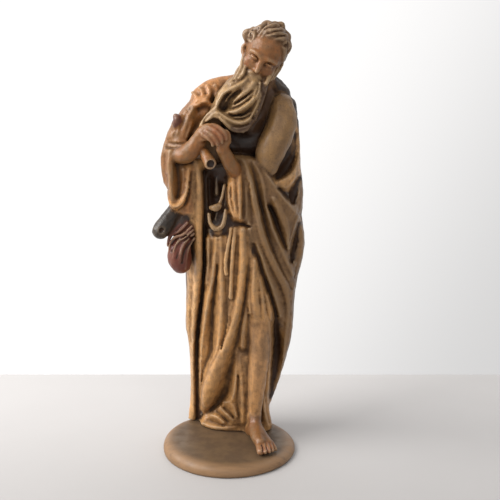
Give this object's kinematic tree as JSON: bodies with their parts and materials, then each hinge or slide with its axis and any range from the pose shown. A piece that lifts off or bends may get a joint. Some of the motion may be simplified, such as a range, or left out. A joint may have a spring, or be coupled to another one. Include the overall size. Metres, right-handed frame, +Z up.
{
  "type": "nativity figurine",
  "caption": "Carved and toned wooden nativity figure of a bearded old man in a draped mantle, leaning on his staff, on a round turned plinth.",
  "frame": {"origin": "centre of the plinth's flat underside", "axes": "+Z up, +X towards the figure's left hand, +Y towards its back, so the figure faces -Y"},
  "size_m": [0.0713, 0.0659, 0.1997],
  "materials": {
    "carved_figure": "toned and painted carving with dark wax in the recesses, soft gloss",
    "plinth": "stained turned disc with a worn shoulder, satin"
  },
  "bodies": {
    "root": {"carved_figure": "carved_figure", "plinth": "plinth"}
  },
  "joints": []
}
